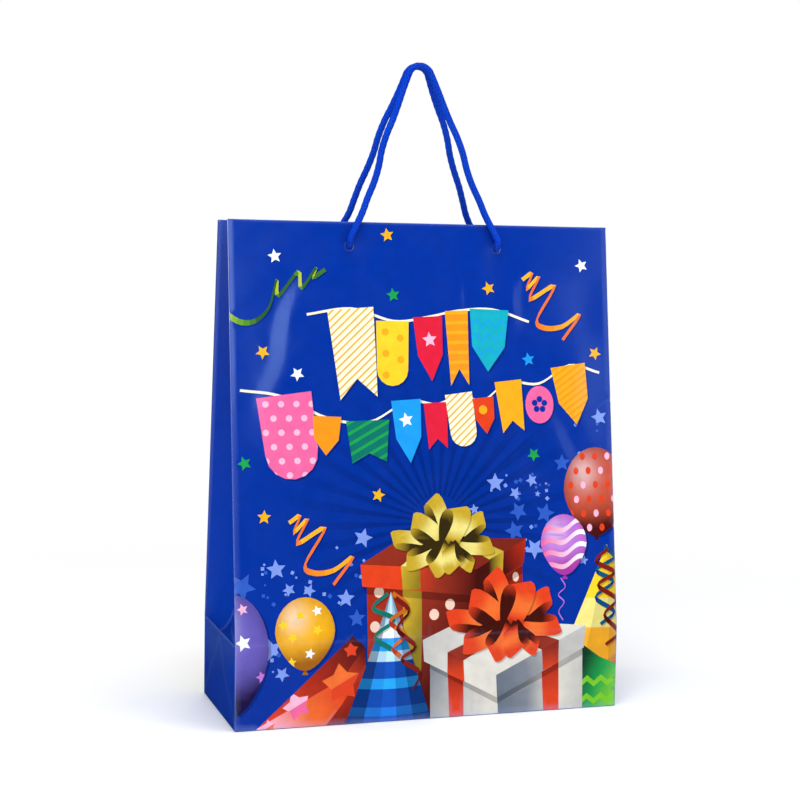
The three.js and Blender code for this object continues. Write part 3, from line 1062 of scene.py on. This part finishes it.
def draw_right_hat(art):
    bands = [(0, 0.4, "lemon"), (0.4, 0.62, "straw"), (0.62, 0.86, "amber"), (0.86, 1.1, "orange")]
    draw_banded_hat(art, (124, 109), (82, 22), (166, 22), bands, (1.1, 0.85, 0.7, 0.6))
    blue = [(122, 108), (129, 100), (116, 92), (128, 84), (115, 74), (128, 64), (118, 56)]
    add_streamer(art, blue, 3.2, "sky", "forest", "deep")
    red = [(125, 106), (116, 98), (129, 90), (117, 82), (130, 72), (121, 62), (131, 50), (122, 42)]
    add_streamer(art, red, 3.2, "flame", "brick", "brick_dark")
    outline = [(104, 44), (118, 34), (132, 28), (132, -1), (104, -1)]
    wrap = art.shaded(outline, ramp_ink((104, 24), (130, 12), "lime_dark", "green", "lime"))
    for low in (2, 14):
        wave = [(104 + 5 * k, low + 4 * (k % 2)) for k in range(7)]
        art.add(band_over(wave, 4), "lime", wrap)


def draw_white_box(art):
    """The small box in front: its body and ribbon, then its lid and the ribbon over that."""
    side = [(-2, 38), (45, 12), (46, -1), (-1, -1)]
    art.face(side, (-2, 30), (44, 8), "silver_dark", "silver", "bone")
    side = [(45, 12), (105, 42), (106, -1), (46, -1)]
    art.face(side, (46, 20), (106, 20), "slate", "silver_dark", "bone", "silver")
    art.face([(10, 34), (21, 28), (22, -1), (12, -1)], (15, 24), (15, 8), "brick", "coral")
    art.face([(76, 29), (88, 35), (89, -1), (78, -1)], (82, 30), (82, 8), "brick", "coral")
    art.add([(-4, 38), (45, 11), (45, 7), (-2, 33)], None)
    art.add([(45, 11), (106, 41), (105, 36), (45, 7)], None)
    lid = [(-7, 52), (44, 26), (45, 11), (-6, 38)]
    art.face(lid, (-7, 46), (45, 20), "silver", "bone", "bone")
    lid = [(44, 26), (107, 56), (106, 41), (45, 11)]
    art.face(lid, (44, 20), (107, 50), "slate", "silver_dark", "silver", "silver")
    art.face([(-7, 52), (22, 64), (107, 56), (44, 26)], (-7, 54), (36, 40), "silver", "bone")
    art.face([(10, 43), (21, 37), (22, 23), (10, 29)], (16, 42), (16, 26), "rust", "coral")
    art.face([(76, 41), (88, 47), (88, 32), (77, 27)], (82, 44), (82, 26), "rust", "coral")
    art.face([(10, 43), (21, 37), (64, 60), (52, 61)], (12, 42), (58, 60), "clay", "rust")
    art.face([(76, 41), (88, 47), (46, 62), (36, 62)], (84, 44), (42, 62), "clay", "rust")
    draw_bow(art, 54, 58, 33, ("flame", "coral", "ember"))


def draw_party():
    """The whole front print, from the back of the picture to its front."""
    art = Print()
    art.sheet = art.add(sheet_outline(), ground)
    draw_rays(art)
    draw_night_confetti(art)
    draw_streamers(art)
    draw_upper_garland(art)
    draw_lower_garland(art)
    draw_stars(art)
    draw_side_balloons(art)
    draw_right_hat(art)
    draw_right_balloons(art)
    draw_red_box(art)
    draw_red_cone(art)
    draw_blue_hat(art)
    draw_white_box(art)
    return art


# --- The printed walls ---


def sheet_reach(s):
    """Half the sheet's width: whole up to the rim, then mitred to the narrower turn-in."""
    whole = HALF_WIDTH - CORNER_RADIUS + CORNER_ARC
    places = (0, RIM, TURN_IN, TURN_IN + MITRE)
    return float(np.interp(s, places, (whole, whole, HALF_WIDTH - 1.2, HEM_REACH)))


def sheet_outline():
    levels = (GROUND_GAP, RIM, TURN_IN, TURN_IN + MITRE, SHEET_TOP)
    right = [(sheet_reach(s), s) for s in levels]
    return right + [(-x, s) for x, s in reversed(right)]


def hole_rings():
    """Both holes for the cord, in the wall and again in the turn-in behind it."""
    turned = TURN_IN + (SCORE + SLOPE - HOLE_S) - RIM_RADIUS
    rings = []
    for x in (-HOLE_X, HOLE_X):
        for s in (HOLE_S, turned):
            rings.append(ellipse(x, s, HOLE_RADIUS, HOLE_RADIUS))
    return rings


def rim_radius(x):
    """The roll at the mouth is pressed flat where it meets the gusset."""
    pressed = 0.3
    return pressed + (RIM_RADIUS - pressed) * float(smoothstep(0.5, 12, HALF_WIDTH - abs(x)))


def profile(x, s):
    """The sheet's outer face in the wall's upright section: how far in, how high, its normal."""
    if s <= SCORE:
        return 0.0, s, (-1.0, 0.0)
    up = (math.sin(LEAN), math.cos(LEAN))
    inward = (math.cos(LEAN), -math.sin(LEAN))
    v = min(s, RIM) - SCORE
    n = 0.0
    normal = (-inward[0], -inward[1])
    if s > RIM:
        a = min(s - RIM, RIM_ARC) / RIM_RADIUS
        r = rim_radius(x)
        v += RIM_RADIUS - r + r * math.sin(a)
        n += r * (1 - math.cos(a))
        normal = (
            -inward[0] * math.cos(a) + up[0] * math.sin(a),
            -inward[1] * math.cos(a) + up[1] * math.sin(a),
        )
    if s > TURN_IN:
        v -= s - RIM - RIM_ARC
    return up[0] * v + inward[0] * n, SCORE + up[1] * v + inward[1] * n, normal


def ridge(across, up, steep, gentle, reach):
    """A handling crease: steep on one side of its crest, gentle on the other, fading away."""
    width = steep if across < 0 else gentle
    rise = 0.5 + 0.5 * math.cos(math.pi * min(1.0, abs(across) / width))
    return rise * bell(up, reach)


def soft_waves(x, s):
    """The slight unevenness of paper that has been glued and folded."""
    waves = 0.34 * math.sin(x / 17 + s / 31 + 0.6) + 0.26 * math.sin(x / 29 - s / 19 + 2.1)
    return waves + 0.16 * math.sin(s / 11 + 1.3 * math.sin(x / 37))


def handling_creases(x, s):
    """Three creases below the rim and one by the right edge, as in the photo."""
    creases = 1.2 * ridge(x + 70 + 0.36 * (300 - s) + 3.5 * math.sin(s / 13), s - 255, 17, 40, 46)
    creases += 0.65 * ridge(62 - x - 0.1 * (290 - s) - 1.5 * math.sin(s / 7), s - 272, 9, 22, 22)
    creases += 0.45 * ridge(22 - x - 0.05 * (285 - s), s - 276, 8, 18, 16)
    return creases + 0.5 * ridge(104 - x - 0.5 * (s - 150), s - 168, 12, 26, 36)


def cord_pull(x, s):
    """The shallow gutters that the cords pull into the paper below their holes."""
    pull = 0.0
    below = HOLE_S - s
    if below <= -12:
        return pull
    width = 5 + 0.12 * max(0, below)
    for hole in (-HOLE_X, HOLE_X):
        reach = math.exp(-((x - hole) ** 2) / (2 * width**2))
        pull -= 0.42 * reach * math.exp(-max(0, below) / 55) * smoothstep(-12, 2, below)
    return pull


def buckle(x, s):
    """How far the paper stands out from flat: a soft belly, waves, creases and the cords' pull,
    all still at the folds and the stiff rim."""
    if s > RIM:
        return 0.0
    u = min(1.0, (HALF_WIDTH - abs(x)) / 26)
    side = math.sin(math.pi / 2 * max(0.0, u)) ** 2
    if s > SCORE:
        up = (s - SCORE) / SLOPE
        level = math.sin(math.pi * min(1.0, up * 1.02)) ** 0.8 if up < 0.98 else 0.0
    else:
        level = 0.35 * math.sin(math.pi * s / SCORE)
    belly = 0.9 * side * level * math.cos(math.pi * x / (2 * HALF_WIDTH))
    relief = soft_waves(x, s) * level + handling_creases(x, s) * min(1, level * 1.6)
    stiff = 1 - 0.8 * float(smoothstep(RIM - 40, RIM - 28, s))
    edge = float(smoothstep(0, 14, RIM - s)) * float(smoothstep(0, 9, abs(s - SCORE) + 1.5))
    foot = float(smoothstep(0, 16, s))
    raised = (belly + relief * side * stiff) * edge * foot
    return raised + cord_pull(x, s) * edge * side


def wall_point(x, s, front):
    """A point of the printed face, and its normal, in millimetres."""
    inward, z, (normal_y, normal_z) = profile(x, s)
    sign = 1 if x >= 0 else -1
    beyond = abs(x) - (HALF_WIDTH - CORNER_RADIUS)
    out_x = inset = 0.0
    if beyond > 0 and s <= TURN_IN:
        a = min(beyond / CORNER_RADIUS, math.radians(80))
        out_x = math.sin(a)
        inset = CORNER_RADIUS * (1 - math.cos(a))
        x = sign * (HALF_WIDTH - CORNER_RADIUS + CORNER_RADIUS * math.sin(a))
    lift = buckle(x, s) - inset
    facing = math.sqrt(1 - out_x * out_x)
    point = np.array([x, -HALF_DEPTH + inward + normal_y * lift, z + normal_z * lift])
    normal = np.array([sign * out_x, normal_y * facing, normal_z * facing])
    if not front:
        point = point * (-1, -1, 1)
        normal = normal * (-1, -1, 1)
    return point, normal


def grid_lines():
    """Where the sheet bends and is cut, across and up."""
    reach = HALF_WIDTH - CORNER_RADIUS
    across = list(np.linspace(-reach, reach, 71))
    for k in (0.35, 0.7, 1.0):
        across += [reach + CORNER_ARC * k, -reach - CORNER_ARC * k]
    up = list(np.linspace(GROUND_GAP, SCORE - 3, 12))
    up += [SCORE - 1.2, SCORE - 0.4, SCORE + 0.4, SCORE + 1.2]
    up += list(np.linspace(SCORE + 4, RIM - 3, 60)) + [RIM - 1, RIM]
    up += [RIM + RIM_ARC * k / 7 for k in range(1, 8)]
    up += list(np.linspace(TURN_IN + 3, SHEET_TOP, 9))
    return sorted(across), up


def cut_sheet(art):
    """Triangulates the flat sheet along every printed edge. Gives points, faces and looks."""
    points, faces = [], []
    for outline in art.outlines + hole_rings():
        first = len(points)
        points += [Vector(p) for p in outline]
        ring = list(range(first, len(points)))
        faces.append(ring if signed_area(outline) > 0 else ring[::-1])
    across, up = grid_lines()
    edges = []
    for s in (SCORE - 0.4, SCORE + 0.4, RIM, TURN_IN):
        edges.append((len(points), len(points) + 1))
        points += [Vector((-sheet_reach(s), s)), Vector((sheet_reach(s), s))]
    for s in up:
        points += [Vector((x, s)) for x in across if abs(x) <= sheet_reach(s)]
    for x in (-HOLE_X, HOLE_X):
        for margin in (0.35, 0.9, 2, 4):
            radius = HOLE_RADIUS + margin
            points += [Vector(p) for p in ellipse(x, HOLE_S, radius, radius)]
    verts, _, triangles, _, _, origins = delaunay_2d_cdt(points, edges, faces, 1, 1e-4)
    holes = set(range(len(art.outlines), len(faces)))
    art.drop_spilled(verts, triangles, origins)
    kept, looks = [], []
    for triangle, found in zip(triangles, origins):
        found = set(found)
        if art.sheet in found and not found & holes:
            kept.append(tuple(triangle))
            looks.append(art.on_top(found))
    return [tuple(v) for v in verts], kept, looks


def set_wall_normals(obj, flat_points, front):
    """Shades the sheet by its true surface, whatever triangles the print cuts it into."""
    outward = []
    step = 0.3
    for x, s in flat_points:
        right, left = wall_point(x + step, s, front)[0], wall_point(x - step, s, front)[0]
        above, below = wall_point(x, s + step, front)[0], wall_point(x, s - step, front)[0]
        normal = np.cross(right - left, above - below)
        length = np.linalg.norm(normal)
        outward.append(normal / length if length > 1e-9 else wall_point(x, s, front)[1])
    normals = outward + [-normal for normal in outward]
    obj.data.normals_split_custom_set_from_vertices([tuple(normal) for normal in normals])


def sheet_wear(x, s):
    """Film rubbed along the folds, the score, the rim and the foot, and round the holes."""
    wear = [0.55 * bell(abs(x) - HALF_WIDTH, 0.8), 0.1 * bell(s - SCORE, 0.7)]
    wear += [0.6 * bell(s - RIM - RIM_ARC / 2, 1.3), 0.5 * bell(s, 1.2)]
    distance = math.hypot(abs(x) - HOLE_X, s - HOLE_S)
    return max(*wear, 0.6 * bell(distance - HOLE_RADIUS, 0.3))


def build_wall_sheet(name, cut, art, front):
    flat_points, faces, looks = cut
    used = sorted({i for face in faces for i in face})
    renumber = {old: new for new, old in enumerate(used)}
    faces = [tuple(renumber[i] for i in face) for face in faces]
    flat_points = [flat_points[i] for i in used]
    outer, normals = zip(*[wall_point(x, s, front) for x, s in flat_points])

    def edge_slot(i):
        """The cut edge is white, but the mitred corners are folded, so they show their print."""
        x, s = flat_points[i]
        return 0 if abs(x) > HEM_REACH and s < TURN_IN + MITRE else 1

    colours = []
    for face, (shape, shade) in zip(faces, looks):
        colours += [art.paints[shape](*flat_points[i]) * shade for i in face]
    wear = [sheet_wear(x, s) for x, s in flat_points]
    obj = closed_sheet(name, outer, normals, faces, flat_points, wear, colours, edge_slot)
    set_wall_normals(obj, flat_points, front)
    return obj


def build_walls():
    art = draw_party()
    cut = cut_sheet(art)
    for label, sign in (("front", -1), ("back", 1)):
        wall = build_wall_sheet(f"{label}_printed_sheet", cut, art, label == "front")
        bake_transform(wall)
        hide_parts(f"{label}_panel", f"{label}_lower_wall", f"{label}_top_hem")


# --- The side gussets ---

# The gussets' outer faces lie just inside the walls' edges and corners.
GUSSET_OUT = HALF_WIDTH - 0.05
CORNER_TUCK = CORNER_RADIUS * 0.55
# The radius of the roll at the mouth, and how far the skirt reaches down.
GUSSET_ROLL = 0.6
SKIRT = 4.5
# The part of a half's width that its turn-in covers.
TURN_IN_FROM, TURN_IN_TO = 0.28, 0.96
# How wide the rub along a fold is.
RUBBED = math.sqrt(1.5)
# Keeps the gussets' grain apart from the walls' on the flat sheet.
GUSSET_AWAY = 400


def gusset_point(side, half, across, up, depth=0.0):
    """The outside of a gusset half, from the wall's corner in to the centre fold."""
    corner = HALF_DEPTH - (HALF_DEPTH - HALF_MOUTH) * up
    fold_in = math.sqrt(HALF_DEPTH**2 - HALF_MOUTH**2) * math.sqrt(up)
    length = math.hypot(corner, fold_in)
    start = corner - CORNER_TUCK
    depth += 0.5 * math.sin(math.pi * across) * math.sin(math.pi * up)
    x = GUSSET_OUT - fold_in * across - corner / length * depth
    y = start * (1 - across) + fold_in / length * depth
    z = SCORE + (HEIGHT - SCORE) * up
    return side * x, half * max(y, 0.02), z


def gusset_sheet_point(side, half, u, w):
    """A gusset half with its turn-in: w runs up to 1, over the roll to 2, and down to 3. Below 0
    it is a short skirt behind the lower gusset, which keeps the fold closed when it opens."""
    if w < 0:
        x, y, z = gusset_point(side, half, u, 0)
        tuck = 0.45 * min(1, -8 * w) - 0.6 * w
        return x - side * tuck, y * (1 + 0.03 * max(w, -1)), z + SKIRT * w
    if w <= 1:
        return gusset_point(side, half, u, w * (1 - GUSSET_ROLL / (HEIGHT - SCORE)))
    down = max(0.0, w - 2)
    narrow = float(smoothstep(0, 0.12, down))
    u += narrow * (TURN_IN_FROM + (TURN_IN_TO - TURN_IN_FROM) * u - u)
    r = 0.12 + (GUSSET_ROLL - 0.12) * float(smoothstep(0, TURN_IN_FROM, u))
    a = math.pi * min(1.0, w - 1)
    up = 1 - (GUSSET_ROLL + HEM * down) / (HEIGHT - SCORE)
    x, y, z = gusset_point(side, half, u, up, r * (1 - math.cos(a)))
    return x, y, z + r * math.sin(a)


def build_gusset_half(side_name, side, half_name, half):
    us = np.linspace(0, 1, 15)
    vs = [-1, -0.55, -0.13] + list(np.linspace(0, 1, 61) ** 1.6)
    vs += [1 + k / 6 for k in range(1, 7)] + [2.04, 2.08, 2.12] + list(np.linspace(2.25, 3, 6))
    if side * half > 0:
        us = us[::-1]

    def place(u, v):
        return gusset_sheet_point(side, half, u, v)

    def flat_place(u, v):
        return HALF_DEPTH * half * (1 - u) + GUSSET_AWAY * side, SCORE + SLOPE * v

    def wear(u, v):
        corner = 0.35 * bell(u * HALF_DEPTH, RUBBED)
        middle = 0.2 * bell((1 - u) * HALF_DEPTH, RUBBED)
        return max(corner, middle, 0.55 * bell(v - 1.5, 0.5))

    name = f"{side_name}_gusset_{half_name}"
    obj = grid_sheet(f"{name}_sheet", us, vs, place, flat_place, wear)
    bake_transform(obj)
    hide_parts(f"{name}_half", f"{name}_hem")


def build_lower_gusset(side_name, side):
    """The foot's end wall, which buckles into an upper and a lower facet along a diagonal."""
    us = np.linspace(-1, 1, 101)
    vs = np.linspace(0, 1, 55)
    if side < 0:
        us = us[::-1]
    reach = HALF_DEPTH - CORNER_TUCK
    height = SCORE + 0.2 - GROUND_GAP

    def crease(u, v):
        """The two 45 degree marks that the folded base leaves."""
        return bell(((1 - abs(u)) * HALF_DEPTH - v * SCORE) / math.sqrt(2), 1.1)

    def place(u, v):
        y, z = u * reach, GROUND_GAP + height * v
        from_fold = abs(z - 0.42 * (HALF_DEPTH - y)) * 0.92
        tent = min(1.0, (HALF_DEPTH - abs(y)) / 14) * min(1.0, z / 7, (SCORE - z + 0.5) / 7)
        out = (1.5 * max(0.0, 1 - from_fold / 30) - 0.6 + 0.15 * crease(u, v)) * max(tent, 0)
        return side * (GUSSET_OUT + out), y, z

    def flat_place(u, v):
        return HALF_DEPTH * u + GUSSET_AWAY * side, SCORE * v

    def wear(u, v):
        edge = 0.35 * bell((1 - abs(u)) * HALF_DEPTH, RUBBED)
        score = 0.4 * bell((1 - v) * SCORE, math.sqrt(1.2))
        return max(edge, score, 0.16 * crease(u, v))

    obj = grid_sheet(f"{side_name}_lower_gusset_sheet", us, vs, place, flat_place, wear)
    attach(obj, "bag_foot")
    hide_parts(f"{side_name}_lower_gusset")


def build_gussets():
    for side_name, side in (("left", -1), ("right", 1)):
        build_lower_gusset(side_name, side)
        for half_name, half in (("front", -1), ("back", 1)):
            build_gusset_half(side_name, side, half_name, half)


# --- The cord handles ---


def resample(points, spacing):
    """The same line with evenly spaced points."""
    points = np.asarray(points, float)
    steps = np.linalg.norm(np.diff(points, axis=0), axis=1)
    along = np.concatenate([[0], np.cumsum(steps)])
    count = max(2, int(round(along[-1] / spacing)) + 1)
    places = np.linspace(0, along[-1], count)
    return np.stack([np.interp(places, along, points[:, k]) for k in range(3)], axis=1)


def braided_tube(name, line, diameter):
    """A round plait of twelve yarns, six each way, as real relief on a tube along the line."""
    around, yarns, pitch = 40, 6, 9.5
    line = resample(line, 0.42)
    tangents = np.gradient(line, axis=0)
    tangents /= np.linalg.norm(tangents, axis=1, keepdims=True)
    travelled = np.cumsum(np.linalg.norm(np.diff(line, axis=0), axis=1))
    travelled = np.concatenate([[0], travelled])
    side = np.cross(tangents[0], (0.3, 1, 0.2))
    side /= np.linalg.norm(side)
    vertices, uvs, heights = [], [], []
    for centre, tangent, distance in zip(line, tangents, travelled):
        side = side - tangent * np.dot(side, tangent)
        side /= np.linalg.norm(side)
        other = np.cross(tangent, side)
        turn = 2 * math.pi * distance / pitch
        for i in range(around):
            a = 2 * math.pi * i / around
            right = math.cos(yarns * a + turn * 2)
            left = math.cos(yarns * a - turn * 2)
            over = math.sin(yarns * a) * math.sin(turn * 2)
            relief = max(right, left) if over >= 0 else max(left, right)
            relief = 0.5 + 0.5 * relief
            radius = diameter / 2 * (0.85 + 0.14 * relief)
            vertices.append(centre + (side * math.cos(a) + other * math.sin(a)) * radius)
            uvs.append((i, distance))
            heights.append(relief)
    faces = []
    for k in range(len(line) - 1):
        for i in range(around):
            a, b = k * around + i, k * around + (i + 1) % around
            faces.append((a, b, b + around, a + around))
    faces.append(tuple(range(around))[::-1])
    faces.append(tuple(range(len(vertices) - around, len(vertices))))
    obj = new_object(name, vertices, faces, [CORD_YARN])
    set_uv(obj, uvs)
    # The plait's relief, which the cord material turns into painted shade in its grooves.
    set_wear_and_relief(obj, heights)
    return obj, line


def in_wall(x, v, n, way):
    """A point x across, v up the leaning wall and n inward from its printed face."""
    y = -HALF_DEPTH + math.sin(LEAN) * v + math.cos(LEAN) * n
    z = SCORE + math.cos(LEAN) * v - math.sin(LEAN) * n
    return np.array([x, way * y, z])


# How far in from the printed wall and up from the hole the cord is as it turns upward.
ELBOW = ((6.5, 0.0), (3.0, 0.0), (0.6, 0.1), (-1.2, 0.7), (-2.5, 2.6), (-3.0, 5.5))


def handle_route(way):
    """Out of one hole, up over the top and into the other: the CAD route with round elbows."""
    hole = in_wall(0, HOLE_LEVEL, -STANDOFF, 1)
    top_y = -(CORD / 2 + PAPER)
    rise = math.hypot(top_y - hole[1], HANDLE_TOP - hole[2])
    tilt = math.atan2(top_y - hole[1], HANDLE_TOP - hole[2])
    r = HANDLE_TOP_RADIUS
    leg = math.atan2(HOLE_X, rise - r) - math.asin(r / math.hypot(HOLE_X, rise - r))
    arc = []
    for k in range(9):
        a = math.pi - leg - (math.pi - 2 * leg) * k / 8
        arc.append((r * math.cos(a), rise - r + r * math.sin(a)))
    legs = []
    for k in range(2, 11):
        t = k / 11
        sway = 1.1 * math.sin(math.pi * 2 * t) * math.sin(math.pi * t)
        sway += 0.7 * math.sin(17 * t + way) * math.sin(math.pi * t)
        legs.append((-HOLE_X + (HOLE_X + arc[0][0]) * t + sway, arc[0][1] * t))
    lifted = []
    for x, s in legs + arc + [(-x, s) for x, s in reversed(legs)]:
        y, z = hole[1] + math.sin(tilt) * s, hole[2] + math.cos(tilt) * s
        lifted.append(np.array([x, way * y, z]))
    start, end = [], []
    for n, v in ELBOW:
        start.append(in_wall(-HOLE_X + 0.06 * v, HOLE_LEVEL + v, n, way))
        end.append(in_wall(HOLE_X - 0.06 * v, HOLE_LEVEL + v, n, way))
    return smooth_line(start + lifted + end[::-1], 12)


def build_handle(label, way):
    cord, path = braided_tube(f"{label}_braided_handle", handle_route(way), CORD)
    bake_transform(cord)
    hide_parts(f"{label}_handle_cord")


def knot_route(centre, way, side):
    """A knot drawn tight against the inside of the wall, with a short tail."""
    points = []
    turns = 26
    for k in range(turns + 1):
        a = 2 * math.pi * (k / turns) * 1.5 - math.pi / 2
        r = 2.9 + 0.5 * math.cos(2 * a)
        depth = 2.6 * math.sin(a * 2 / 3 + 0.4) * 0.75
        points.append(centre + np.array([side * r * math.cos(a), way * depth, r * math.sin(a)]))
    tail_start = points[-1]
    points.append(tail_start + np.array([side * 1.5, way * 0.5, -4.0]))
    points.append(tail_start + np.array([side * 2.0, way * 0.2, -11.0]))
    return smooth_line(points, 4)


def build_knot(label, way, side_name, side):
    node = f"{label}_knot_{side_name}"
    centre = in_wall(side * HOLE_X, HOLE_LEVEL, 6.9, way)
    knot, _ = braided_tube(f"{node}_tied", knot_route(centre, way, side), CORD * 0.92)
    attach(knot, f"{label}_wall")
    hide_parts(node)


def build_handles():
    """Both handles, each with the knots behind its holes."""
    for label, way in (("front", 1), ("back", -1)):
        build_handle(label, way)
        for side_name, side in (("left", -1), ("right", 1)):
            build_knot(label, way, side_name, side)


# --- The plain CAD pieces that show ---


def dress(nodes, material):
    for node in nodes:
        obj = bpy.data.objects[node]
        obj.data.materials.clear()
        obj.data.materials.append(material)


def dress_cad_pieces():
    """Gives the CAD's own solids that show inside the bag their materials."""
    dress(("base_inner_flap", "base_left_tuck", "base_right_tuck", "side_seam_lap"), LINING)
    dress(("base_board", "front_stiffener_card", "back_stiffener_card"), BOARD)


def build_base_flap():
    """The printed flap that the bag stands on."""

    def place(u, v):
        return u * (HALF_WIDTH - 0.5), -v * (HALF_DEPTH - 0.5), 0.02

    def flat_place(u, v):
        return HALF_WIDTH * u, -HALF_DEPTH * v - 200

    def wear(u, v):
        return 0.6 * bell(min((1 - abs(u)) * HALF_WIDTH, (1 - abs(v)) * HALF_DEPTH), 4)

    us, vs = np.linspace(-1, 1, 41), np.linspace(-1, 1, 17)
    obj = grid_sheet("base_outer_sheet", us, vs, place, flat_place, wear)
    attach(obj, "bag_foot")
    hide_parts("base_outer_flap")


build_handles()
build_walls()
build_gussets()
build_base_flap()
dress_cad_pieces()
